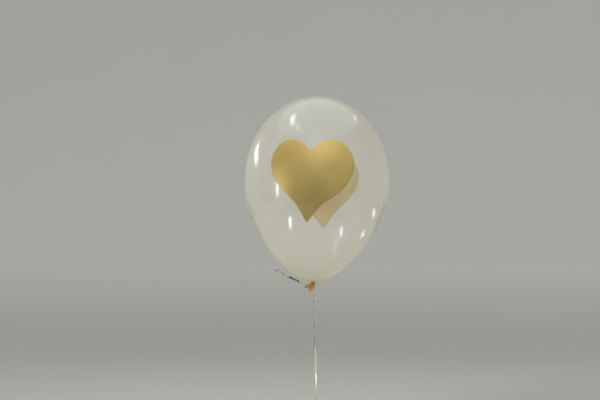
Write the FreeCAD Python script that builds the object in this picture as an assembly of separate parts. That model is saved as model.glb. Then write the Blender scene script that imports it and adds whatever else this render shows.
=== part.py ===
# A tied latex party balloon with a gold heart printed on its front and back, on a metallised ribbon.
#
# Frame: millimetres, +Z up, the front heart faces -Y. The origin is the lowest inside point of the
# hand loop at the ribbon's lower end, where a finger, a hook or a weight pulls.
import FreeCAD, Part
import math
import os
from FreeCAD import Vector

# Inflated bulb, measured from the level where the crown meets the taper. The swell fills it out
# by a share of its radius, most of all at swell_level and fading over swell_reach.
bulb_radius = 140.0
crown_height = 155.0
taper_height = 211.0
taper_pull = 0.25
swell_share = 0.025
swell_level = -75.0
swell_reach = 80.0
skin_wall = 0.35
bulb_lean = 1.8

# Tied neck under the bulb
neck_radius = 3.0
neck_fillet = 2.2
neck_drop = 6.3
neck_foot_above_knot = 0.5
knot_ring_radius = 3.0
knot_roll_radius = 2.2
knot_core_radius = 3.3
mouth_thickness = 1.4
mouth_rim_radius = 0.9

# Printed hearts, cut from the bulb's surface by a heart-shaped beam that reaches past it
print_layer = 0.3
beam_length = 1.5 * bulb_radius

# Ribbon
ribbon_width = 4.8
ribbon_lean = 1.24
wrap_radius = 0.4
wrap_pitch = 0.72
wrap_turns = 2
wrap_ring_radius = neck_radius + 0.28
wrap_above_knot = 5.1
tie_knot_radius = 2.0
tie_height = 288.0
tie_behind_neck = 6.3
tie_above_knot = 3.6
joint_gap = 0.35

# Hand loop
loop_radius = 10.0
loop_height = 45.0
loop_band = 0.6
loop_top_half = 1.2
loop_flank_start = 14.0
loop_knot_radius = 2.8

# How finely the bulb's formula is followed
crown_steps = 12
taper_steps = 18
underside_turn = 84.0

# Heart, seen from outside: x to the right, z from the level where the crown meets the taper.
# The left and right halves differ a little, and the tip leans left.
heart_notch = (0.0, 32.0)
heart_left = [(-17.0, 48.0), (-38.0, 54.3), (-61.0, 42.5), (-75.0, 7.0), (-56.0, -35.0),
              (-30.0, -61.5), (-15.5, -82.0)]
heart_tip = [(-7.6, -96.6), (-4.4, -99.4), (-0.7, -96.6)]
heart_right = [(7.6, -86.0), (24.0, -67.5), (56.0, -43.5), (75.0, -16.0), (80.5, 12.0),
               (67.5, 41.0), (42.0, 54.3), (18.0, 47.5)]

# Flattened mouth below the latex knot, from the knot's centre: x to the right, z up
mouth_root_top = (-1.5, 2.8)
mouth_left_tip = (-17.8, 0.0)
mouth_low_tip = (-8.2, -12.2)
mouth_root_low = (2.2, -3.6)
mouth_dip = (-8.6, -4.0)

# Ribbon tail, from the ribbon's tie: x to the right, y to the back, z up
tail_route = [(-6.0, -0.5, -1.8), (-16.0, 0.0, -1.0), (-30.0, -2.0, 4.6), (-44.5, -1.0, 11.2),
              (-57.5, -2.5, 17.8), (-68.5, -1.0, 24.0), (-78.0, -3.0, 27.5)]
tail_radius = ribbon_width / 2
# The share of the shorter run beside a corner that the corner's arc takes up
corner_share = 0.45

up_ribbon = Vector(-math.sin(math.radians(ribbon_lean)), 0, math.cos(math.radians(ribbon_lean)))
tie_centre = up_ribbon * tie_height
neck_knot_centre = tie_centre + Vector(0, -tie_behind_neck, -tie_above_knot)
loop_knot_centre = up_ribbon * (loop_height + loop_band + joint_gap + loop_knot_radius)


def save(name, shape):
    """Write one sub-part to its own STEP file and print what was made."""
    if not shape.isValid():
        raise ValueError(name + " is not a valid shape")
    shape.exportStep("parts/" + name + ".step")
    box = shape.BoundBox
    print("%-18s %d solid  %9.1f mm3" % (name, len(shape.Solids), shape.Volume), end="")
    print("  x %.1f..%.1f  y %.1f..%.1f  z %.1f..%.1f" % (
        box.XMin, box.XMax, box.YMin, box.YMax, box.ZMin, box.ZMax))


def swollen(radius, height):
    """A point of the bulb's side, filled out by the swell."""
    fuller = 1 + swell_share * math.exp(-((height - swell_level) / swell_reach) ** 2)
    return Vector(radius * fuller, 0, height)


def bulb_outline(grow):
    """Points down one side of the bulb, an ellipse above and a pulled-in ellipse below."""
    radius = bulb_radius + grow
    points = []
    for step in range(crown_steps):
        turn = math.radians(90.0 * step / crown_steps)
        points.append(swollen(radius * math.sin(turn), (crown_height + grow) * math.cos(turn)))
    for step in range(taper_steps + 1):
        turn = math.radians(underside_turn * step / taper_steps)
        slimmer = 1 - taper_pull * math.sin(turn) ** 3
        points.append(swollen(radius * math.cos(turn) * slimmer, -(taper_height + grow) * math.sin(turn)))
    return points


def turned(points, neck=()):
    """Solid of revolution about Z: a smooth side that starts on the axis, then any neck edges."""
    side = Part.BSplineCurve()
    side.interpolate(Points=points, InitialTangent=Vector(1, 0, 0),
                     FinalTangent=(points[-1] - points[-2]).normalize())
    foot = neck[-1].Vertexes[-1].Point if neck else points[-1]
    base = Vector(0, 0, foot.z)
    edges = [side.toShape(), *neck, Part.makeLine(foot, base), Part.makeLine(base, points[0])]
    return Part.Face(Part.Wire(edges)).revolve(Vector(0, 0, 0), Vector(0, 0, 1), 360)


def on_neck(shape):
    """Put a shape made about the bulb's own level in its place over the latex knot."""
    shape.translate(Vector(0, 0, taper_height + neck_drop))
    shape.rotate(Vector(0, 0, 0), Vector(0, 1, 0), bulb_lean)
    shape.translate(neck_knot_centre)
    return shape


def neck_edges(start):
    """From the bulb's underside over a round shoulder and down the pinched neck."""
    centre = Vector(neck_radius + neck_fillet, 0, -taper_height - neck_fillet)
    shoulder = centre + Vector(0, 0, neck_fillet)
    middle = centre + Vector(-1, 0, 1).normalize() * neck_fillet
    side = centre - Vector(neck_fillet, 0, 0)
    foot = Vector(neck_radius, 0, -taper_height - neck_drop + neck_foot_above_knot)
    return [Part.makeLine(start, shoulder), Part.Arc(shoulder, middle, side).toShape(),
            Part.makeLine(side, foot)]


def balloon_skin():
    """The inflated latex: a thin wall round the sealed gas, closed below by the gathered neck."""
    outline = bulb_outline(0)
    return on_neck(turned(outline, neck_edges(outline[-1])).cut(turned(bulb_outline(-skin_wall))))


def heart_face():
    """Flat heart in the XZ plane, as it looks from outside. Its blunt tip runs on from both sides."""
    def at(point):
        return Vector(point[0], 0, point[1])

    left = Part.BSplineCurve()
    left.interpolate([at(p) for p in [heart_notch] + heart_left + heart_tip[:1]])
    right = Part.BSplineCurve()
    right.interpolate([at(p) for p in heart_tip[-1:] + heart_right + [heart_notch]])
    tip = Part.BSplineCurve()
    tip.interpolate(Points=[at(p) for p in heart_tip],
                    InitialTangent=left.tangent(left.LastParameter)[0],
                    FinalTangent=right.tangent(right.FirstParameter)[0])
    return Part.Face(Part.Wire([left.toShape(), tip.toShape(), right.toShape()]))


def heart_print(facing):
    """Thin layer on the bulb's outside, facing 0 degrees for the front and 180 for the back."""
    beam = heart_face().extrude(Vector(0, -beam_length, 0))
    layer = turned(bulb_outline(print_layer)).common(beam).cut(turned(bulb_outline(0)))
    layer.rotate(Vector(0, 0, 0), Vector(0, 0, 1), facing)
    return on_neck(layer)


def neck_knot():
    """The latex overhand knot: one rolled turn round a core."""
    ring = Part.makeTorus(knot_ring_radius, knot_roll_radius, neck_knot_centre, Vector(0, 1, 0))
    core = Part.makeSphere(knot_core_radius, neck_knot_centre)
    return ring.fuse(core).removeSplitter()


def mouth_edge():
    """The concave arc between the two tips of the flattened mouth."""
    tips = [neck_knot_centre + Vector(x, 0, z) for x, z in (mouth_left_tip, mouth_dip, mouth_low_tip)]
    return Part.Arc(*tips).toShape()


def mouth_rim():
    """The rolled bead along the mouth's edge."""
    edge = mouth_edge()
    start = edge.valueAt(edge.FirstParameter)
    circle = Part.Circle(start, edge.tangentAt(edge.FirstParameter), mouth_rim_radius)
    return Part.Wire([edge]).makePipeShell([Part.Wire([circle.toShape()])], True, False)


def neck_mouth(rim, knot):
    """The flattened end of the neck, from the latex knot to the rolled bead."""
    edge = mouth_edge()
    low_tip = edge.valueAt(edge.LastParameter)
    root_low = neck_knot_centre + Vector(mouth_root_low[0], 0, mouth_root_low[1])
    root_top = neck_knot_centre + Vector(mouth_root_top[0], 0, mouth_root_top[1])
    left_tip = edge.valueAt(edge.FirstParameter)
    lines = [Part.makeLine(low_tip, root_low), Part.makeLine(root_low, root_top),
             Part.makeLine(root_top, left_tip)]
    sheet = Part.Face(Part.Wire([edge] + lines)).extrude(Vector(0, mouth_thickness, 0))
    sheet.translate(Vector(0, -mouth_thickness / 2, 0))
    return sheet.cut(rim).cut(knot)


def ribbon_wrap(skin):
    """Bunched turns of ribbon bedded into the neck, between the bulb and the latex knot."""
    turns = []
    for turn in range(wrap_turns):
        height = wrap_above_knot + wrap_pitch * (turn - (wrap_turns - 1) / 2)
        centre = neck_knot_centre + Vector(0, 0, height)
        turns.append(Part.makeTorus(wrap_ring_radius, wrap_radius, centre))
    return turns[0].multiFuse(turns[1:]).cut(skin)


def tube(points, radius):
    """Round tube along straight runs joined by arcs as large as the runs allow. Prints its radii."""
    edges = []
    radii = []
    start = points[0]
    for before, corner, after in zip(points, points[1:], points[2:]):
        back = (before - corner)
        ahead = (after - corner)
        reach = corner_share * min(back.Length, ahead.Length)
        half_turn = (math.pi - back.getAngle(ahead)) / 2
        radii.append(reach / math.tan(half_turn))
        arc_start = corner + back.normalize() * reach
        arc_end = corner + ahead.normalize() * reach
        sag = radii[-1] / math.cos(half_turn) - radii[-1]
        middle = corner + (arc_start + arc_end - corner * 2).normalize() * sag
        edges.append(Part.makeLine(start, arc_start))
        edges.append(Part.Arc(arc_start, middle, arc_end).toShape())
        start = arc_end
    edges.append(Part.makeLine(start, points[-1]))
    path = Part.Wire(edges)
    section = Part.Wire([Part.Circle(points[0], points[1] - points[0], radius).toShape()])
    solid = path.makePipeShell([section], True, False)
    expected = math.pi * radius ** 2 * path.Length
    print("tube length %.1f mm, volume %.4f of section times length, bend radii %s" % (
        path.Length, solid.Volume / expected, ["%.0f" % r for r in radii]))
    return solid


def ribbon_tail():
    return tube([tie_centre + Vector(*point) for point in tail_route], tail_radius)


def ribbon_knot():
    return Part.makeSphere(tie_knot_radius, tie_centre)


def ribbon():
    """The taut stretch between the hand loop's knot and the tie under the balloon."""
    bottom = loop_knot_centre + up_ribbon * (loop_knot_radius + joint_gap)
    top = tie_centre - up_ribbon * (tie_knot_radius + joint_gap)
    length = (top - bottom).Length
    print("ribbon, taut stretch %.1f mm" % length)
    return Part.makeCylinder(ribbon_width / 2, length, bottom, up_ribbon)


def loop_area(shrink):
    """Teardrop in the XZ plane: a round bottom and two flanks that meet at the loop's knot."""
    radius = loop_radius - shrink
    centre = Vector(0, 0, loop_radius)
    apex_half = loop_top_half - shrink
    touch = math.radians(loop_flank_start)
    right = centre + Vector(radius * math.cos(touch), 0, radius * math.sin(touch))
    left = centre + Vector(-radius * math.cos(touch), 0, radius * math.sin(touch))
    top_right = Vector(apex_half, 0, loop_height - shrink)
    top_left = Vector(-apex_half, 0, loop_height - shrink)
    round_part = Part.Arc(right, centre - Vector(0, 0, radius), left).toShape()
    lines = [Part.makeLine(left, top_left), Part.makeLine(top_left, top_right),
             Part.makeLine(top_right, right)]
    return Part.Face(Part.Wire([round_part] + lines))


def hand_loop():
    """Flat band of ribbon bent into a loop, its inside bottom at the origin."""
    band = loop_area(-loop_band).cut(loop_area(0)).extrude(Vector(0, ribbon_width, 0))
    band.translate(Vector(0, -ribbon_width / 2, 0))
    band.rotate(Vector(0, 0, 0), Vector(0, 1, 0), -ribbon_lean)
    return band


def loop_knot():
    return Part.makeSphere(loop_knot_radius, loop_knot_centre)


def main():
    os.makedirs("parts", exist_ok=True)
    latex_knot = neck_knot()
    rim = mouth_rim()
    skin = balloon_skin().cut(latex_knot)
    save("balloon_skin", skin)
    save("front_heart_print", heart_print(0))
    save("back_heart_print", heart_print(180))
    save("neck_knot", latex_knot)
    save("mouth_rim", rim)
    save("neck_mouth", neck_mouth(rim, latex_knot))
    save("ribbon_wrap", ribbon_wrap(skin))
    save("ribbon_knot", ribbon_knot())
    save("ribbon_tail", ribbon_tail())
    save("ribbon", ribbon())
    save("loop_knot", loop_knot())
    save("hand_loop", hand_loop())


main()
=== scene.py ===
# The looks of a printed latex party balloon on a metallised ribbon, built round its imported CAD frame.
# Metres, +Z up. The origin is the inside bottom of the ribbon's hand loop.
import math

import bmesh
import bpy
import numpy as np
from mathutils import Matrix, Vector


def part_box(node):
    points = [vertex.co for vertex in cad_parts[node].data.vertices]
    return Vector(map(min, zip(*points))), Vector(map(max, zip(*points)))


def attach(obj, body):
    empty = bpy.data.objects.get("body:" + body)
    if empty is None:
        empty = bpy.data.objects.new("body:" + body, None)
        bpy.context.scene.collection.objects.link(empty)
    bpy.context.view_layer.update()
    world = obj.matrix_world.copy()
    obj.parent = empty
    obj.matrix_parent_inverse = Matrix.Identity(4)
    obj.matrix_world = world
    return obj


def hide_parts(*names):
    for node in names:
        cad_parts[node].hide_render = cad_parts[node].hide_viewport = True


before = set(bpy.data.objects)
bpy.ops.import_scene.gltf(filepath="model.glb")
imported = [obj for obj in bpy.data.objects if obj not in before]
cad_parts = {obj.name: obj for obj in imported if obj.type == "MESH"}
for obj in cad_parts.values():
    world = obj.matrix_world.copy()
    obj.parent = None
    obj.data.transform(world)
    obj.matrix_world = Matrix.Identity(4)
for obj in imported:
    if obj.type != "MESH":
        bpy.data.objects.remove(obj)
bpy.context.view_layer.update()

MM = 0.001
FULL_TURN = 2 * math.pi


def centre_of(node):
    low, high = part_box(node)
    return (low + high) / 2


tie = centre_of("ribbon_knot")
knot = centre_of("neck_knot")
loop_knot = centre_of("loop_knot")
up_ribbon = (tie - loop_knot).normalized()

# Bulb, measured from the level where the crown meets the taper, as in the CAD source
bulb_radius = 140.0 * MM
crown_height = 155.0 * MM
taper_height = 211.0 * MM
taper_pull = 0.25
swell_share = 0.025
swell_level = -75.0 * MM
swell_reach = 80.0 * MM
underside_turn = math.radians(84.0)
level_above_knot = 217.3 * MM
bulb_lean = math.radians(1.8)
bulb_place = (Matrix.Translation(knot) @ Matrix.Rotation(bulb_lean, 4, "Y")
              @ Matrix.Translation((0, 0, level_above_knot)))
bulb_middle = bulb_place.translation


# ---------------------------------------------------------------- camera

camera_turn = math.radians(6.5)
camera_pitch = math.radians(4.2)
camera_distance = 2.1
aim_right = 0.0335
aim_down = 0.0492
focal_length_mm = 64
sensor_width_mm = 36

camera_data = bpy.data.cameras.new("camera")
camera_data.lens = focal_length_mm
camera_data.sensor_width = sensor_width_mm
camera = bpy.data.objects.new("camera", camera_data)
bpy.context.scene.collection.objects.link(camera)
ahead = Vector((-math.sin(camera_turn) * math.cos(camera_pitch),
                math.cos(camera_turn) * math.cos(camera_pitch), math.sin(camera_pitch)))
camera_right = Vector((math.cos(camera_turn), math.sin(camera_turn), 0))
camera_up = camera_right.cross(ahead)
camera.matrix_world = Matrix.Translation(
    bulb_middle - ahead * camera_distance - camera_right * aim_right - camera_up * aim_down
) @ Matrix((camera_right, camera_up, -ahead)).transposed().to_4x4()
bpy.context.scene.camera = camera


# ---------------------------------------------------------------- materials

def new_material(name):
    material = bpy.data.materials.new(name)
    material.use_nodes = True
    material.node_tree.nodes.clear()
    return material, material.node_tree


def add(tree, kind, sockets=None, **settings):
    """A node with its settings; sockets maps an input's name or number to a value or an output."""
    node = tree.nodes.new("ShaderNode" + kind)
    for key, value in settings.items():
        setattr(node, key, value)
    for key, value in (sockets or {}).items():
        if isinstance(value, bpy.types.NodeSocket):
            tree.links.new(value, node.inputs[key])
        else:
            node.inputs[key].default_value = value
    return node


def maths(tree, operation, first, second=0.0, clamp=False):
    return add(tree, "Math", {0: first, 1: second}, operation=operation, use_clamp=clamp).outputs[0]


def ramp(tree, factor, stops):
    """A colour ramp; stops are (position, colour) with a grey given as one number."""
    node = add(tree, "ValToRGB", {0: factor})
    elements = node.color_ramp.elements
    while len(elements) < len(stops):
        elements.new(0.5)
    for element, (position, colour) in zip(elements, stops):
        element.position = position
        element.color = (*colour, 1) if isinstance(colour, tuple) else (colour,) * 3 + (1,)
    return node.outputs[0]


def noise(tree, place, scale, detail=3.0, rough=0.5):
    return add(tree, "TexNoise", {"Vector": place, "Scale": scale, "Detail": detail,
                                  "Roughness": rough}).outputs[0]


def stretched(tree, place, scale):
    return add(tree, "Mapping", {"Vector": place, "Scale": scale}).outputs[0]


def between(tree, value, low, high, to_low, to_high):
    return add(tree, "MapRange", {0: value, 1: low, 2: high, 3: to_low, 4: to_high}).outputs[0]


def latex_film():
    """Clear latex: a see-through milky film, denser where it is thick and where it is seen edge on."""
    material, tree = new_material("clear_latex")
    place = add(tree, "TexCoord").outputs["Object"]
    height = add(tree, "SeparateXYZ", {0: place}).outputs[2]
    level = between(tree, height, -taper_height, crown_height, 0.0, 1.0)
    # thick and yellow at the neck, thin round the middle, a little thicker at the crown; the tint is also
    # painted lighter round the lower half and darker towards the crown, as painted light below and painted
    # shade at the crown
    tint = ramp(tree, level, [
        (0.0, (0.62, 0.40, 0.17)), (0.007, (0.76, 0.66, 0.45)), (0.03, (0.87, 0.82, 0.69)),
        (0.25, (0.91, 0.885, 0.80)), (0.62, (0.81, 0.795, 0.725)), (0.88, (0.67, 0.66, 0.60)),
        (1.0, (0.62, 0.61, 0.56))])
    density = ramp(tree, level, [(0.0, 0.85), (0.010, 0.56), (0.05, 0.42), (0.25, 0.38), (0.55, 0.365),
                                 (0.80, 0.38), (0.93, 0.43), (1.0, 0.46)])
    cloud = noise(tree, place, 26.0, 4.0, 0.6)
    # the cloud is the film's own uneven thickness; the banded streaks near the crown are painted reflection,
    # rings of mirrored strip lights round the crown
    painted_reflection_arcs = noise(tree, stretched(tree, place, (9.0, 9.0, 150.0)), 1.0, 2.0, 0.5)
    near_crown = between(tree, height, 0.095, crown_height, 0.0, 0.06)
    mottle_and_painted_arcs = maths(tree, "ADD", between(tree, cloud, 0.3, 0.7, -0.01, 0.01),
                   maths(tree, "MULTIPLY", maths(tree, "SUBTRACT", painted_reflection_arcs, 0.5), near_crown))
    density = maths(tree, "ADD", density, mottle_and_painted_arcs, clamp=True)
    facing = add(tree, "LayerWeight", {"Blend": 0.5}).outputs["Facing"]
    least_head_on = 0.14
    head_on = maths(tree, "MAXIMUM", maths(tree, "SUBTRACT", 1.0, facing), least_head_on)
    path_through = maths(tree, "DIVIDE", 1.0, head_on)
    clear = maths(tree, "POWER", maths(tree, "SUBTRACT", 1.0, density), path_through)
    film = maths(tree, "SUBTRACT", 1.0, clear, clamp=True)
    bump = add(tree, "Bump", {"Strength": 0.05, "Distance": 0.0006, "Height": cloud}).outputs[0]
    milky = add(tree, "BsdfPrincipled", {
        "Base Color": tint, "Roughness": 0.35, "Specular IOR Level": 0.2, "Normal": bump})
    lit_behind = add(tree, "BsdfTranslucent", {"Color": tint})
    body = add(tree, "MixShader", {0: 0.5, 1: milky.outputs[0], 2: lit_behind.outputs[0]})
    see = add(tree, "BsdfTransparent", {"Color": (1, 1, 1, 1)})
    filmed = add(tree, "MixShader", {0: film, 1: see.outputs[0], 2: body.outputs[0]})
    # both faces of the film mirror the room, and much more where it is seen edge on
    mirror_head_on, mirror_edge_on, edge_power = 0.065, 0.55, 4.0
    edge = maths(tree, "POWER", facing, edge_power)
    mirrored = maths(tree, "ADD", maths(tree, "MULTIPLY", edge, mirror_edge_on), mirror_head_on)
    gloss_rough = between(tree, cloud, 0.35, 0.65, 0.08, 0.105)
    shine = add(tree, "BsdfGlossy", {"Color": (1, 1, 1, 1), "Roughness": gloss_rough, "Normal": bump})
    whole = add(tree, "MixShader", {0: mirrored, 1: filmed.outputs[0], 2: shine.outputs[0]})
    add(tree, "OutputMaterial", {0: whole.outputs[0]})
    return material


def thick_latex():
    """Gathered latex: amber, cloudy and wrinkled, with light that spreads a little way into it."""
    material, tree = new_material("amber_latex")
    place = add(tree, "TexCoord").outputs["Object"]
    cloud = noise(tree, place, 420.0, 4.0, 0.6)
    wrinkles = noise(tree, place, 1500.0, 3.0, 0.6)
    tint = ramp(tree, cloud, [
        (0.3, (0.36, 0.165, 0.025)), (0.5, (0.52, 0.285, 0.055)), (0.72, (0.68, 0.45, 0.14))])
    bump = add(tree, "Bump", {"Strength": 0.35, "Distance": 0.0004, "Height": wrinkles}).outputs[0]
    skin = add(tree, "BsdfPrincipled", {
        "Base Color": tint, "Roughness": between(tree, cloud, 0.3, 0.7, 0.30, 0.44), "IOR": 1.52,
        "Subsurface Weight": 0.35, "Subsurface Radius": (1.0, 0.45, 0.12), "Subsurface Scale": 0.0012,
        "Normal": bump})
    add(tree, "OutputMaterial", {0: skin.outputs[0]})
    return material


def gold_ink():
    """Screen-printed metallic ink: fine flakes in a satin gold, painted deeper on its underside as painted
    shade.
    """
    material, tree = new_material("gold_print")
    coordinates = add(tree, "TexCoord")
    place = coordinates.outputs["Object"]
    flakes = noise(tree, place, 5200.0, 2.0, 0.7)
    patchy = noise(tree, place, 14.0, 3.0, 0.5)
    drag = noise(tree, stretched(tree, place, (420.0, 420.0, 26.0)), 1.0, 3.0, 0.6)
    flake_share, drag_share, patchy_share = 0.34, 0.14, 0.52
    broad = maths(tree, "ADD", maths(tree, "MULTIPLY", drag, drag_share),
                  maths(tree, "MULTIPLY", patchy, patchy_share))
    mixed = maths(tree, "ADD", maths(tree, "MULTIPLY", flakes, flake_share), broad)
    outer = ramp(tree, mixed, [
        (0.36, (0.60, 0.44, 0.145)), (0.50, (0.67, 0.50, 0.175)), (0.64, (0.74, 0.565, 0.22))])
    underside = add(tree, "SeparateXYZ", {0: coordinates.outputs["UV"]}).outputs[1]
    # the underside, which shows on the back heart seen from inside the bulb, is painted a deeper gold as
    # painted shade
    underside_gold_painted_shade = (0.56, 0.37, 0.02, 1)
    tint = add(tree, "Mix", {0: underside, 6: outer, 7: underside_gold_painted_shade}, data_type="RGBA").outputs[2]
    rough = between(tree, maths(tree, "ADD", flakes, drag), 0.7, 1.3, 0.36, 0.46)
    bump = add(tree, "Bump", {"Strength": 0.10, "Distance": 0.00006, "Height": flakes}).outputs[0]
    ink = add(tree, "BsdfPrincipled", {
        "Base Color": tint, "Metallic": 0.7, "Roughness": rough, "Specular IOR Level": 0.35,
        "Normal": bump})
    add(tree, "OutputMaterial", {0: ink.outputs[0]})
    return material


def foil():
    """Metallised curling ribbon: champagne mirror film with fine ribs along it and crimps across it."""
    material, tree = new_material("foil_ribbon")
    uv = add(tree, "TexCoord").outputs["UV"]
    split = add(tree, "SeparateXYZ", {0: uv})
    rib_count, rib_height = 11, 0.012
    ribs = maths(tree, "SINE", maths(tree, "MULTIPLY", split.outputs[0], FULL_TURN * rib_count))
    crimps = noise(tree, stretched(tree, uv, (2.2, 300.0, 1.0)), 1.0, 2.0, 0.5)
    # the champagne is the film's own colour; the patches towards gold along the ribbon are painted reflection
    # of the room
    painted_reflection_patches = noise(tree, stretched(tree, uv, (0.8, 55.0, 1.0)), 1.0, 2.0, 0.5)
    tint = ramp(tree, painted_reflection_patches, [
        (0.30, (0.74, 0.71, 0.64)), (0.52, (0.82, 0.77, 0.64)), (0.72, (0.80, 0.69, 0.44))])
    height = maths(tree, "ADD", maths(tree, "MULTIPLY", ribs, rib_height), crimps)
    bump = add(tree, "Bump", {"Strength": 0.2, "Distance": 0.0005, "Height": height}).outputs[0]
    film = add(tree, "BsdfPrincipled", {
        "Base Color": tint, "Metallic": 1.0, "Roughness": between(tree, crimps, 0.3, 0.7, 0.09, 0.2),
        "Normal": bump})
    add(tree, "OutputMaterial", {0: film.outputs[0]})
    return material


clear_latex = latex_film()
amber_latex = thick_latex()
gold_print = gold_ink()
foil_ribbon = foil()


# ---------------------------------------------------------------- mesh helpers

def piece(name, points, faces, material, body, nodes=(), place=None, uv=None):
    """A smooth mesh piece in its place, riding on a body, standing for CAD nodes."""
    mesh = bpy.data.meshes.new(name)
    mesh.from_pydata([tuple(p) for p in points], [], [tuple(f) for f in faces])
    mesh.materials.append(material)
    work = bmesh.new()
    work.from_mesh(mesh)
    bmesh.ops.recalc_face_normals(work, faces=work.faces)
    work.to_mesh(mesh)
    work.free()
    mesh.shade_smooth()
    if uv is not None:
        layer = mesh.uv_layers.new(name="ribbon")
        for loop in mesh.loops:
            layer.data[loop.index].uv = uv[loop.vertex_index]
    mesh.update()
    thing = bpy.data.objects.new(name, mesh)
    bpy.context.scene.collection.objects.link(thing)
    if place is not None:
        thing.matrix_world = place
    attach(thing, body)
    if nodes:
        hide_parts(*nodes)
    return thing


def nurbs_line(name, points, fineness):
    """A smooth open NURBS line through the air, and the points that it passes."""
    data = bpy.data.curves.new(name, "CURVE")
    data.dimensions = "3D"
    spline = data.splines.new("NURBS")
    spline.points.add(len(points) - 1)
    for target, point in zip(spline.points, points):
        target.co = (*point, 1)
    spline.order_u = 3
    spline.use_endpoint_u = True
    spline.resolution_u = fineness
    line = bpy.data.objects.new(name, data)
    mesh = bpy.data.meshes.new_from_object(line)
    passed = [v.co.copy() for v in mesh.vertices]
    bpy.data.meshes.remove(mesh)
    bpy.data.objects.remove(line)
    bpy.data.curves.remove(data)
    return passed


def carried_frames(line, first_side, closed=False):
    """For each point of a line its direction and a side vector that turns as little as it can."""
    frames = []
    side = Vector(first_side)
    for index, point in enumerate(line):
        before = line[index - 1] if index or closed else point
        after = line[(index + 1) % len(line)] if index + 1 < len(line) or closed else point
        along = (after - before).normalized()
        side = (side - along * side.dot(along)).normalized()
        frames.append((along, side.copy()))
    return frames


def distances(line):
    run = [0.0]
    for a, b in zip(line, line[1:]):
        run.append(run[-1] + (b - a).length)
    return run


def grid_faces(rings, around, closed_line=False):
    faces = []
    for i in range(rings if closed_line else rings - 1):
        for j in range(around):
            a, b = i * around + j, i * around + (j + 1) % around
            c, d = ((i + 1) % rings) * around + (j + 1) % around, ((i + 1) % rings) * around + j
            faces.append((a, b, c, d))
    return faces


def smooth_step(value):
    value = min(max(value, 0.0), 1.0)
    return value * value * (3 - 2 * value)


def strip(line, first_side, width, thick, twist, crease, shift=None, across=6):
    """A flat ribbon along a line: width, twist and crease are functions of the distance run.

    A shift, also a function of the distance run, is how far the ribbon stands off the line along its
    own face's normal; the ribbon then follows the wound path that this makes.
    """
    run = distances(line)
    normals, middles = [], []
    for point, (along, side), s in zip(line, carried_frames(line, first_side), run):
        normals.append(along.cross(Matrix.Rotation(twist(s), 3, along) @ side))
        middles.append(point + normals[-1] * (shift(s) if shift else 0.0))
    points, uv = [], []
    around = 2 * (across + 1)
    for index, (middle, normal, s) in enumerate(zip(middles, normals, run)):
        ahead = (middles[min(index + 1, len(middles) - 1)] - middles[max(index - 1, 0)]).normalized()
        flat = normal.cross(ahead).normalized()
        out = ahead.cross(flat)
        for layer in (1, -1):
            for k in range(across + 1):
                share = (2 * k / across - 1) * layer
                lift = crease(s) * (1 - abs(share)) * width(s) / 2
                points.append(middle + flat * (share * width(s) / 2) + out * (lift + layer * thick / 2))
                uv.append(((share + 1) / 2, s))
    faces = grid_faces(len(line), around)
    faces.append(tuple(range(around))[::-1])
    faces.append(tuple((len(line) - 1) * around + k for k in range(around)))
    return points, faces, uv


def tube_mesh(line, first_side, radius, around, closed=False, folds=0, fold_depth=0.0, fold_twist=0.0):
    """A tube along a line, with folds along it; radius is a function of the share of the way along."""
    frames = carried_frames(line, first_side, closed)
    points = []
    last = len(line) - (0 if closed else 1)
    for index, (point, (along, side)) in enumerate(zip(line, frames)):
        share = index / last
        other = along.cross(side)
        for k in range(around):
            angle = FULL_TURN * k / around
            r = radius(share) * (1 + fold_depth * math.cos(folds * angle + fold_twist * share))
            points.append(point + side * (r * math.cos(angle)) + other * (r * math.sin(angle)))
    faces = grid_faces(len(line), around, closed)
    if not closed:
        faces.append(tuple(range(around))[::-1])
        faces.append(tuple((len(line) - 1) * around + k for k in range(around)))
    return points, faces


# ---------------------------------------------------------------- ribbon: the cords come first

ribbon_width = 4.8 * MM
film_thick = 0.22 * MM
bunched_thick = 0.55 * MM
tie_radius = 2.0 * MM
loop_knot_radius = 2.8 * MM
knot_gap = 0.35 * MM

# The taut stretch, from the tie down to the hand loop's knot
ribbon_top = tie - up_ribbon * (tie_radius + knot_gap)
ribbon_bottom = loop_knot + up_ribbon * (loop_knot_radius + knot_gap)
# Points six widths from either end keep the stretch between them straight
near_knot = 6 * ribbon_width
ribbon_route = [ribbon_top, ribbon_top - up_ribbon * near_knot, ribbon_bottom + up_ribbon * near_knot,
                ribbon_bottom]
ribbon_line = nurbs_line("ribbon_line", ribbon_route, fineness=80)
ribbon_length = distances(ribbon_line)[-1]


def pinched(s, length, least, reach):
    """The share of its width that a strip keeps: the least at its two knotted ends, all beyond their reach."""
    return least + (1 - least) * smooth_step(min(s, length - s) / reach)


twisted_part = 108.0 * MM
ribbon_turns = 2.5
turns_easing = 1.25
wobble_size = 0.35
wobble_turns = 2.3
lower_turn = 0.5
pinched_share = 0.42
pinch_reach = 7.0 * MM
crease_depth = 0.34
crease_loss, loss_start, loss_reach = 0.12, 90.0 * MM, 50.0 * MM
crease_ripple, ripple_turns = 0.08, 95


def ribbon_twist(s):
    """Tight, uneven turns in the upper half, then nearly flat to the front."""
    share = min(s / twisted_part, 1.0)
    turned = FULL_TURN * ribbon_turns * (1 - (1 - share) ** turns_easing)
    wobble = wobble_size * math.sin(FULL_TURN * wobble_turns * share) * (1 - share)
    return -turned + wobble + lower_turn * s / ribbon_length


def ribbon_crease(s):
    """Folded along its middle where it is twisted, flatter lower down, and nowhere quite even."""
    lost = crease_loss * smooth_step((s - loss_start) / loss_reach)
    return crease_depth - lost + crease_ripple * math.sin(s * ripple_turns)


line_points, line_faces, line_uv = strip(
    ribbon_line, (1, 0, 0),
    lambda s: ribbon_width * pinched(s, ribbon_length, pinched_share, pinch_reach),
    film_thick, ribbon_twist, ribbon_crease)
ribbon_strip = piece(
    "ribbon_strip", line_points, line_faces, foil_ribbon, "line", ["ribbon"], uv=line_uv)

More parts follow.
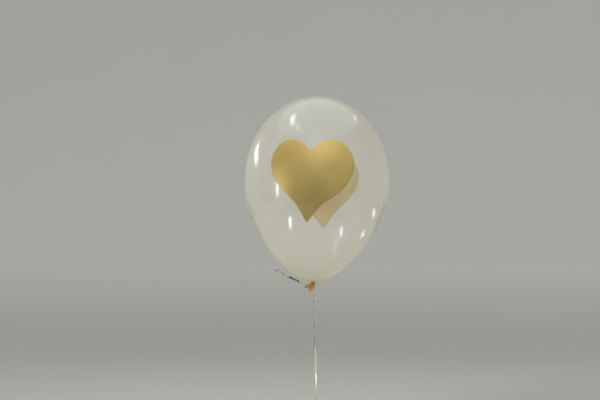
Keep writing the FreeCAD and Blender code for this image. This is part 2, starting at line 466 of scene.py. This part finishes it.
# The short free end under the bulb's lower left
tail_route = [tie + Vector(offset) * MM for offset in (
    (-6.0, -0.5, -1.8), (-16.0, 0.0, -1.0), (-30.0, -2.0, 4.6), (-44.5, -1.0, 11.2),
    (-57.5, -2.5, 17.8), (-68.5, -1.0, 24.0), (-78.0, -3.0, 27.5))]
tail_line = nurbs_line("tail_line", tail_route, fineness=44)
turn_at_tie = -58.0
front_turn, front_start, front_reach = 54.0, 15.0 * MM, 12.0 * MM
edge_turn, edge_start, edge_reach = 74.0, 44.0 * MM, 11.0 * MM
curl_start = 54.5 * MM
curl_pitch = 10.0 * MM
curl_radius = 3.5 * MM
share_at_tie, opening_reach = 0.45, 20.0 * MM
share_lost, drawn_start, drawn_reach = 0.22, 50.0 * MM, 10.0 * MM
tail_crease = 0.12


def tail_twist(s):
    """Nearly on edge at the tie, flat to the front half-way, then wound up like a corkscrew."""
    to_front = front_turn * smooth_step((s - front_start) / front_reach)
    to_edge = edge_turn * smooth_step((s - edge_start) / edge_reach)
    wound = FULL_TURN * max(0.0, s - curl_start) / curl_pitch
    return math.radians(turn_at_tie + to_front + to_edge) + wound


def tail_curl(s):
    """The free end winds round its line, as ribbon drawn over a blade does."""
    return curl_radius * smooth_step((s - curl_start) / curl_pitch)


def tail_width(s):
    """Bunched at the tie, full half-way, and narrower where it is drawn out into the corkscrew."""
    opened = min(1.0, share_at_tie + s / opening_reach)
    drawn_out = share_lost * smooth_step((s - drawn_start) / drawn_reach)
    return ribbon_width * opened * (1 - drawn_out)


tail_points, tail_faces, tail_uv = strip(
    tail_line, (0, 0, 1), tail_width, film_thick, tail_twist, lambda s: tail_crease, shift=tail_curl)
tail_strip = piece(
    "ribbon_tail_strip", tail_points, tail_faces, foil_ribbon, "tail", ["ribbon_tail"],
    uv=tail_uv)


def knotted_ribbon(centre, size, width, first_turn, stray=()):
    """A small pulled-tight overhand knot of bunched ribbon about a centre, with a stray end or none."""
    shape = [(0.1, 0.0, 1.0), (-0.15, 0.5, 0.55), (-0.7, 0.45, -0.1), (-0.45, -0.25, -0.72),
             (0.3, -0.62, -0.5), (0.72, -0.25, 0.15), (0.35, 0.45, 0.62), (-0.3, 0.62, 0.35),
             (-0.62, 0.0, 0.2), (-0.2, -0.6, 0.12), (0.4, -0.5, 0.05), (0.6, 0.25, -0.35),
             (0.15, 0.3, -0.72), (-0.1, 0.0, -1.0)]
    turn = Matrix.Rotation(first_turn, 3, "Z")
    route = [centre + turn @ (Vector(p) * size) for p in shape]
    route += [centre + Vector(p) * MM for p in stray]
    line = nurbs_line("knot_line", route, fineness=10)
    length = distances(line)[-1]
    wave = 1.4 / size
    twist_size, twist_turns, folded = 1.2, 1.5, 0.35
    return strip(line, (1, 0.3, 0), lambda s: width * (0.85 + 0.15 * math.sin(s * wave)), bunched_thick,
                 lambda s: twist_size * math.sin(FULL_TURN * twist_turns * s / length),
                 lambda s: folded)


tie_points, tie_faces, tie_uv = knotted_ribbon(tie, size=1.75 * MM, width=2.0 * MM, first_turn=0.4)
piece("ribbon_tie", tie_points, tie_faces, foil_ribbon, "upper_knot", ["ribbon_knot"],
      uv=tie_uv)

stray_end = [(-0.8, -3.2, -1.6), (-2.2, -4.9, -4.0), (-3.0, -5.6, -8.6)]
closing_points, closing_faces, closing_uv = knotted_ribbon(
    loop_knot, size=2.5 * MM, width=2.6 * MM, first_turn=2.2, stray=stray_end)
closing_knot = piece(
    "hand_loop_knot", closing_points, closing_faces, foil_ribbon, "lower_knot",
    ["loop_knot"], uv=closing_uv)

# The hand loop, a teardrop in the XZ plane that narrows towards its knot
loop_radius = 12.2 * MM
loop_top = 46.2 * MM
loop_drop = 0.3 * MM
loop_taper = 0.62
loop_twist = 0.5
loop_pinched_share = 0.32
loop_pinch_reach = 12.0 * MM
loop_crease, loop_end_crease = 0.06, 0.25
loop_lean = Matrix.Rotation(-math.radians(1.24), 3, "Y")


def teardrop(turn):
    """A point of the loop, from its knot down one side, round the bottom and up the other."""
    side = math.sin(turn) * (0.5 - 0.5 * math.cos(turn)) ** loop_taper
    height = loop_top * (0.5 + 0.5 * math.cos(turn)) - loop_drop
    return loop_lean @ Vector((loop_radius * side, 0, height))


loop_steps = 120
loop_line = [teardrop(FULL_TURN * i / loop_steps) for i in range(loop_steps + 1)]
loop_run = distances(loop_line)[-1]
loop_points, loop_faces, loop_uv = strip(
    loop_line, (0, 1, 0),
    lambda s: ribbon_width * pinched(s, loop_run, loop_pinched_share, loop_pinch_reach), film_thick,
    lambda s: loop_twist * math.sin(FULL_TURN * s / loop_run),
    lambda s: loop_crease + loop_end_crease * (1 - pinched(s, loop_run, 0, loop_pinch_reach)))
hand_loop = piece(
    "hand_loop_strip", loop_points, loop_faces, foil_ribbon, "loop", ["hand_loop"],
    uv=loop_uv)


# ---------------------------------------------------------------- balloon

def fuller(z):
    """How much the swell fills out the bulb's radius at a height."""
    return 1 + swell_share * math.exp(-((z - swell_level) / swell_reach) ** 2)


def bulb_reach(z):
    """The bulb's radius at a height."""
    if z >= 0:
        return bulb_radius * math.sqrt(max(0.0, 1 - (z / crown_height) ** 2)) * fuller(z)
    share = min(1.0, -z / taper_height)
    return bulb_radius * math.sqrt(1 - share * share) * (1 - taper_pull * share ** 3) * fuller(z)


def bulb_outline():
    """(radius, height) from the crown to the foot of the neck, with finer steps at both ends."""
    rings = []
    crown_steps, taper_steps, shoulder_steps, arc_steps = 56, 84, 8, 10
    crown_spacing, taper_spacing = 1.1, 1.35
    for i in range(1, crown_steps + 1):
        turn = math.pi / 2 * (i / crown_steps) ** crown_spacing
        z = crown_height * math.cos(turn)
        rings.append((bulb_radius * math.sin(turn) * fuller(z), z))
    for i in range(1, taper_steps + 1):
        turn = underside_turn * (1 - (1 - i / taper_steps) ** taper_spacing)
        z = -taper_height * math.sin(turn)
        rings.append((bulb_radius * math.cos(turn) * (1 - taper_pull * math.sin(turn) ** 3) * fuller(z), z))
    # the shoulder runs in from the taper to the fillet where the gathered neck starts
    neck_radius, fillet, neck_flare = 2.5 * MM, 2.6 * MM, 0.12
    shoulder_drop, shoulder_curve = 0.95 * MM, 1.4
    last_radius, last_level = rings[-1]
    for i in range(1, shoulder_steps + 1):
        share = i / shoulder_steps
        rings.append((last_radius + (neck_radius + fillet - last_radius) * share,
                      last_level - shoulder_drop * share ** shoulder_curve))
    top = rings[-1][1]
    for i in range(1, arc_steps + 1):
        turn = math.pi / 2 * i / arc_steps
        rings.append((neck_radius + fillet * (1 - math.sin(turn)), top - fillet * (1 - math.cos(turn))))
    for drop in (0.8 * MM, 1.7 * MM, 2.7 * MM):
        rings.append((neck_radius + neck_flare * drop, top - fillet - drop))
    return rings


def pleats(angle):
    """Uneven folds round the neck, as the sum of three waves."""
    return (0.5 * math.cos(7 * angle + 0.6) + 0.32 * math.cos(12 * angle + 2.1)
            + 0.22 * math.cos(19 * angle + 4.0))


def balloon_mesh():
    """The bulb with its neck; the pleats fade out from the neck into the shoulder."""
    segments = 240
    fold_start, fold_reach, fold_height = 4.0 * MM, 8.5 * MM, 0.55 * MM
    neck_start, neck_reach, neck_depth = 6.5 * MM, 4.0 * MM, 0.10
    fold_drift = 0.6
    rings = bulb_outline()
    points = [Vector((0, 0, crown_height))]
    for radius, z in rings:
        fold = math.exp(-max(radius - fold_start, 0) / fold_reach)
        neck = smooth_step((neck_start - radius) / neck_reach)
        for k in range(segments):
            angle = FULL_TURN * k / segments
            crimp = pleats(angle + fold_drift * fold)
            r = radius * (1 + neck_depth * neck * crimp)
            points.append(Vector((r * math.cos(angle), r * math.sin(angle),
                                  z + fold_height * fold * (1 - neck) * crimp)))
    faces = [(0, 1 + k, 1 + (k + 1) % segments) for k in range(segments)]
    faces += [tuple(1 + i for i in face) for face in grid_faces(len(rings), segments)]
    return points, faces


skin_points, skin_faces = balloon_mesh()
piece("balloon_latex", skin_points, skin_faces, clear_latex, "balloon", ["balloon_skin"],
      place=bulb_place)


def spline_through(points, steps):
    """Points along the smoothest curve through the given ones, a natural cubic spline."""
    known = np.array(points, float)
    at = np.concatenate([[0], np.cumsum(np.linalg.norm(np.diff(known, axis=0), axis=1))])
    gap = np.diff(at)
    count = len(known)
    system = np.eye(count)
    wanted = np.zeros_like(known)
    for i in range(1, count - 1):
        system[i, i - 1:i + 2] = gap[i - 1], 2 * (gap[i - 1] + gap[i]), gap[i]
        wanted[i] = 6 * ((known[i + 1] - known[i]) / gap[i] - (known[i] - known[i - 1]) / gap[i - 1])
    bend = np.linalg.solve(system, wanted)
    made = []
    for t in np.linspace(0, at[-1], steps):
        i = min(int(np.searchsorted(at, t, side="right")) - 1, count - 2)
        a, b = (at[i + 1] - t) / gap[i], (t - at[i]) / gap[i]
        made.append(a * known[i] + b * known[i + 1]
                    + ((a ** 3 - a) * bend[i] + (b ** 3 - b) * bend[i + 1]) * gap[i] ** 2 / 6)
    return made


# The printed heart, as in the CAD source: x to the right and z up, from the bulb's own level, in mm
heart_notch = (0.0, 32.0)
heart_left = [(-17.0, 48.0), (-38.0, 54.3), (-61.0, 42.5), (-75.0, 7.0), (-56.0, -35.0),
              (-30.0, -61.5), (-15.5, -82.0)]
heart_tip = [(-7.6, -96.6), (-4.4, -99.4), (-0.7, -96.6)]
heart_right = [(7.6, -86.0), (24.0, -67.5), (56.0, -43.5), (75.0, -16.0), (80.5, 12.0),
               (67.5, 41.0), (42.0, 54.3), (18.0, 47.5)]
ink_thick = 0.3 * MM
# The ink's underside lies just inside the skin, where the film's own veil doesn't hide its colour
ink_lift = -0.1 * MM


def heart_outline():
    side_steps, tip_steps = 150, 9
    left = spline_through([heart_notch] + heart_left + heart_tip[:1], side_steps)
    tip = spline_through(heart_tip, tip_steps)
    right = spline_through(heart_tip[-1:] + heart_right + [heart_notch], side_steps)
    return np.array(left[:-1] + tip[:-1] + right[:-1]) * MM


def heart_mesh():
    """A thin layer on the bulb: an outer face that rounds off at the print's edge, and an inner face."""
    outline = heart_outline()
    middle = np.array((2.0, -5.0)) * MM
    around = len(outline)
    rounding_start, rounding_depth, ring_steps = 0.985, 0.5, 34
    shares = [i / ring_steps for i in range(1, ring_steps)] + [rounding_start, 0.993, 0.998, 1.0]
    points, faces, underside = [], [], []

    def on_bulb(flat, lift):
        reach = bulb_reach(flat[1]) + lift
        return Vector((flat[0], -math.sqrt(reach * reach - flat[0] ** 2), flat[1]))

    for top in (True, False):
        start = len(points)
        points.append(on_bulb(middle, ink_thick if top else ink_lift))
        for share in shares:
            sunk = smooth_step((share - rounding_start) / (1 - rounding_start)) * rounding_depth
            lift = ink_thick * (1 - sunk) if top else ink_lift
            points += [on_bulb(middle + (p - middle) * share, lift) for p in outline]
        underside += [(0.5, 0.0 if top else 1.0)] * (len(points) - start)
        fan = [(start, start + 1 + k, start + 1 + (k + 1) % around) for k in range(around)]
        fan += [tuple(start + 1 + i for i in face) for face in grid_faces(len(shares), around)]
        faces += fan if top else [face[::-1] for face in fan]
    half = len(points) // 2
    rim = half - around
    faces += [(rim + k, half + rim + k, half + rim + (k + 1) % around, rim + (k + 1) % around)
              for k in range(around)]
    return points, faces, underside


heart_points, heart_faces, heart_underside = heart_mesh()
for side, turn in (("front", 0.0), ("back", math.pi)):
    piece(side + "_heart_ink", heart_points, heart_faces, gold_print, "balloon",
          [side + "_heart_print"], place=bulb_place @ Matrix.Rotation(turn, 4, "Z"), uv=heart_underside)


# ---------------------------------------------------------------- knot and mouth of the latex neck

def from_knot(offsets):
    return [knot + Vector(offset) * MM for offset in offsets]


# The neck runs down through the knot towards the mouth, and the pulled-tight wrap goes round it
core_route = [(0.3, 0.3, 6.9), (0.0, 0.3, 4.6), (-0.7, -0.2, 1.8), (-1.4, -0.8, -0.3), (-3.0, -0.9, -1.1),
              (-5.8, -0.4, -1.7)]


def core_radius(share):
    """Fullest in the middle of the knot, and narrower at the mouth than at the neck."""
    return (2.3 + 0.5 * math.sin(math.pi * share) - 0.4 * share) * MM


def wrap_point(turn):
    """The middle of the wrap: high on the right, lower on the left, and dropping behind the neck."""
    return (-2.3 + 3.3 * math.cos(turn), -0.8 + 2.2 * math.sin(turn),
            3.2 + 1.15 * math.cos(turn) - 0.8 * math.sin(turn) + 0.25 * math.sin(2 * turn + 0.5))


def wrap_radius(share):
    """Thicker and thinner twice on the way round."""
    return (2.0 + 0.22 * math.sin(FULL_TURN * share * 2 + 1.0)) * MM


knot_around = 40
wrap_steps = 72
core_line = nurbs_line("latex_core_line", from_knot(core_route), fineness=12)
core_points, core_faces = tube_mesh(
    core_line, (1, 0, 0), core_radius, knot_around, folds=9, fold_depth=0.07, fold_twist=5.0)
wrap_line = from_knot([wrap_point(FULL_TURN * k / wrap_steps) for k in range(wrap_steps)])
wrap_points, wrap_faces = tube_mesh(
    wrap_line, (0, 0, 1), wrap_radius, knot_around, closed=True, folds=8, fold_depth=0.06)
piece("latex_overhand_knot", core_points + wrap_points,
      core_faces + [tuple(len(core_points) + i for i in face) for face in wrap_faces],
      amber_latex, "balloon", ["neck_knot"])

# Where the mouth's flattened edge runs: from the left lobe over the dip to the low lobe
left_lobe = Vector((-17.2, 0, -1.9)) * MM
edge_dip = Vector((-7.6, 0, -3.6)) * MM
low_lobe = Vector((-6.4, 0, -11.8)) * MM
mouth_root = Vector((-2.0, 0, 0.4)) * MM
root_width = 8.6 * MM
latex_thick = 0.35 * MM
bead_radius = 0.72 * MM


def blunt(value, power=0.62):
    """A sine or cosine made squarer, which turns an oval into a flattened one."""
    return math.copysign(abs(value) ** power, value)


def mouth_edge(share):
    """A point of the middle of the mouth's edge, and the direction square to it: 0 left, 1 low."""
    middle = edge_dip * 2 - (left_lobe + low_lobe) / 2
    at = left_lobe * (1 - share) ** 2 + middle * (2 * share * (1 - share)) + low_lobe * share ** 2
    along = ((middle - left_lobe) * (1 - share) + (low_lobe - middle) * share).normalized()
    return at, Vector((along.z, 0, -along.x))


def mouth_section(flare, angle):
    """A point of the flattened trumpet: flare 0 at the knot, 1 at the mouth; angle goes round it."""
    share = 0.5 - 0.5 * blunt(math.cos(angle))
    edge, square = mouth_edge(share)
    across = (low_lobe - left_lobe).normalized()
    root = mouth_root + across * ((share - 0.5) * root_width)
    spread = flare ** 1.2
    lobe_thick = (2.05 + 1.2 * share) * MM
    lobe = lobe_thick * blunt(math.sin(angle)) * flare
    half_depth = (1.7 - 0.55 * flare) * MM
    depth = half_depth * blunt(math.sin(angle), 0.8)
    frill_height, frill_waves = 0.4 * MM, 2.6
    frill = frill_height * math.sin(FULL_TURN * frill_waves * share) * flare ** 2
    return knot + root * (1 - spread) + edge * spread + square * lobe + Vector((0, depth + frill, 0))


mouth_around = 72
mouth_rings = 22
mouth_points = [mouth_section(ring / (mouth_rings - 1), FULL_TURN * k / mouth_around)
                for ring in range(mouth_rings) for k in range(mouth_around)]
mouth = piece("latex_mouth", mouth_points, grid_faces(mouth_rings, mouth_around), amber_latex, "balloon",
              ["neck_mouth"])
wall = mouth.modifiers.new("wall", "SOLIDIFY")
wall.thickness = latex_thick
wall.offset = -1

bead_steps, bead_around = 96, 14
bead_line = [mouth_section(1.0, FULL_TURN * k / bead_steps) for k in range(bead_steps)]
bead_points, bead_faces = tube_mesh(
    bead_line, (0, 1, 0.1), lambda share: bead_radius, bead_around, closed=True)
piece("mouth_rolled_bead", bead_points, bead_faces, amber_latex, "balloon", ["mouth_rim"])

# Bunched turns of ribbon round the neck, from the tie and back to it, in mm from the knot
winding_route = [(0.2, 5.6, 3.4), (1.6, 4.4, 4.0)]
winding_turns, winding_steps = 2.35, 34
winding_start = math.radians(62)
winding_radius, winding_level, winding_rise = 2.9, 4.4, 0.9
bump_height, bumps = 0.12, 5
for step in range(winding_steps + 1):
    share = step / winding_steps
    angle = winding_start - FULL_TURN * winding_turns * share
    reach = winding_radius + bump_height * math.sin(bumps * angle)
    level = winding_level + winding_rise * share
    winding_route.append((reach * math.cos(angle), reach * math.sin(angle), level))
winding_route += [(-1.8, 4.3, 4.6), (-0.3, 5.6, 3.8)]
winding_line = nurbs_line("winding_line", from_knot(winding_route), fineness=6)
winding_width = 0.9 * MM
winding_thick = 0.34 * MM
winding_crease = 0.25
rock_size, rock_rate = 0.5, 900
winding_points, winding_faces, winding_uv = strip(
    winding_line, (0, 0, 1), lambda s: winding_width, winding_thick,
    lambda s: rock_size * math.sin(s * rock_rate), lambda s: winding_crease, across=4)
piece("ribbon_winding", winding_points, winding_faces, foil_ribbon, "balloon",
      ["ribbon_wrap"], uv=winding_uv)


# ---------------------------------------------------------------- floor and light

def studio():
    """A pale floor that sweeps up all round into a pale wall."""
    floor_level = -0.0012
    cove_start, cove_radius, cove_steps = 2.6, 3.4, 12
    wall_top = 7.0
    around = 96
    outline = [(1.0, 0.0), (2.2, 0.0)]
    for i in range(1, cove_steps + 1):
        turn = math.pi / 2 * i / cove_steps
        outline.append((cove_start + cove_radius * math.sin(turn), cove_radius * (1 - math.cos(turn))))
    outline.append((cove_start + cove_radius, wall_top))
    points = [Vector((r * math.cos(FULL_TURN * k / around), r * math.sin(FULL_TURN * k / around),
                      floor_level + z)) for r, z in outline for k in range(around)]
    faces = [face[::-1] for face in grid_faces(len(outline), around)]
    points.append(Vector((0, 0, floor_level)))
    faces += [(len(points) - 1, k, (k + 1) % around) for k in range(around)]
    mesh = bpy.data.meshes.new("studio")
    mesh.from_pydata([tuple(p) for p in points], [], faces)
    mesh.shade_smooth()
    material, tree = new_material("studio_paint")
    place = add(tree, "TexCoord").outputs["Object"]
    height = add(tree, "SeparateXYZ", {0: place}).outputs[2]
    tint = ramp(tree, between(tree, height, 0.0, 3.0, 0.0, 1.0), [
        (0.0, (0.43, 0.435, 0.415)), (0.12, (0.575, 0.58, 0.555)), (1.0, (0.62, 0.625, 0.60))])
    paint = add(tree, "BsdfPrincipled", {"Base Color": tint, "Roughness": 0.9, "Specular IOR Level": 0.1})
    add(tree, "OutputMaterial", {0: paint.outputs[0]})
    mesh.materials.append(material)
    floor = bpy.data.objects.new("studio", mesh)
    bpy.context.scene.collection.objects.link(floor)
    floor.visible_shadow = False


lamp_spread = math.radians(110)


def softbox(name, place, width, height, watts, colour=(1, 1, 1)):
    """A large soft lamp aimed at the bulb. The cards below are what shiny surfaces mirror instead of it."""
    data = bpy.data.lights.new(name, "AREA")
    data.shape = "RECTANGLE"
    data.size, data.size_y = width, height
    data.energy = watts
    data.spread = lamp_spread
    data.color = colour
    light = bpy.data.objects.new(name, data)
    bpy.context.scene.collection.objects.link(light)
    light.location = place
    light.rotation_euler = (bulb_middle - Vector(place)).to_track_quat("-Z", "Y").to_euler()
    light.visible_camera = light.visible_glossy = False


def mirrored_card(name, start, end, width, glow, target=None):
    """A soft-edged card from start to end that only reflections meet: glowing, or black where glow is 0."""
    material, tree = new_material(name)
    split = add(tree, "SeparateXYZ", {0: add(tree, "TexCoord").outputs["UV"]})
    fades = []
    edge_at, full_at = 0.5, 0.22
    for axis in (0, 1):
        from_middle = maths(tree, "ABSOLUTE", maths(tree, "SUBTRACT", split.outputs[axis], 0.5))
        fades.append(between(tree, from_middle, edge_at, full_at, 0.0, 1.0))
    light = add(tree, "Emission", {"Strength": glow})
    clear = add(tree, "BsdfTransparent", {"Color": (1, 1, 1, 1)})
    soft = add(tree, "MixShader", {0: maths(tree, "MULTIPLY", fades[0], fades[1]), 1: clear.outputs[0],
                                   2: light.outputs[0]})
    add(tree, "OutputMaterial", {0: soft.outputs[0]})
    start, end = Vector(start), Vector(end)
    facing = (bulb_middle if target is None else Vector(target)) - (start + end) / 2
    side = (end - start).cross(facing).normalized() * width / 2
    mesh = bpy.data.meshes.new(name)
    corners = (start - side, start + side, end + side, end - side)
    mesh.from_pydata([tuple(p) for p in corners], [], [(0, 1, 2, 3)])
    layer = mesh.uv_layers.new(name="card")
    for loop, corner in zip(mesh.loops, ((0, 0), (1, 0), (1, 1), (0, 1))):
        layer.data[loop.index].uv = corner
    mesh.materials.append(material)
    card = bpy.data.objects.new(name, mesh)
    bpy.context.scene.collection.objects.link(card)
    card.visible_camera = card.visible_diffuse = False
    card.visible_shadow = card.visible_transmission = False


studio()
softbox("key", (-1.7, -2.2, 2.0), 1.2, 1.2, 24)
softbox("fill", (2.1, -1.4, 1.4), 1.1, 1.1, 10, (1.0, 0.985, 0.95))
softbox("top", (0.2, 0.5, 2.9), 2.0, 2.0, 1.5)
mirrored_card("glow_upper", (-0.9, -2.2, 2.1), (1.9, -2.2, 2.1), 1.6, 1.22)
mirrored_card("glow_left", (-1.52, 0.26, 0.82), (-1.18, 0.80, 1.15), 0.26, 6.0)
mirrored_card("glow_high", (-0.76, -0.50, 1.84), (-0.66, 0.25, 1.96), 0.20, 6.5)
mirrored_card("glow_low_left", (-0.33, -0.425, 0.13), (-0.33, -0.285, 0.015), 0.065, 9.0)
mirrored_card("glow_low_right", (0.32, -0.245, 0.095), (0.30, -0.13, 0.03), 0.05, 7.0)
mirrored_card("glow_side", (-0.57, -0.455, 0.53), (-0.57, -0.415, 0.30), 0.09, 8.0)
mirrored_card("glow_edge", (0.63, 0.19, 0.285), (0.55, 0.32, 0.235), 0.07, 5.0)
mirrored_card("glow_low_edge", (0.465, 0.14, 0.13), (0.405, 0.25, 0.13), 0.06, 4.0)
mirrored_card("glow_dot", (-0.37, -0.34, 1.39), (-0.37, -0.50, 1.32), 0.09, 4.0)
mirrored_card("glow_crown_dot", (0.44, 0.50, 1.22), (0.58, 0.26, 1.26), 0.07, 3.0)
mirrored_card("dark_room", (-0.9, -2.6, 0.1), (1.2, -2.6, 0.1), 1.0, 0.0, (0, 0, 0.2))
mirrored_card("dark_floor", (0.0, -0.16, 0.01), (0.0, -2.3, 0.01), 2.4, 0.06, (0.0, -1.2, 1.0))
dark_distance, dark_foot, dark_height, dark_width = 1.5, -0.1, 0.6, 0.5
for card, degrees in (("dark_left", -168), ("dark_right", -22), ("dark_behind", 60), ("dark_back", 128)):
    angle = math.radians(degrees)
    foot = Vector((dark_distance * math.cos(angle), dark_distance * math.sin(angle), dark_foot))
    mirrored_card(card, foot, foot + Vector((0, 0, dark_height)), dark_width, 0.0, (0, 0, 0.2))

world = bpy.data.worlds.new("room")
world.use_nodes = True
bpy.context.scene.world = world
background = world.node_tree.nodes["Background"]
background.inputs["Color"].default_value = (0.98, 1.0, 0.97, 1)
background.inputs["Strength"].default_value = 1.0
bpy.context.scene.view_settings.view_transform = "Standard"
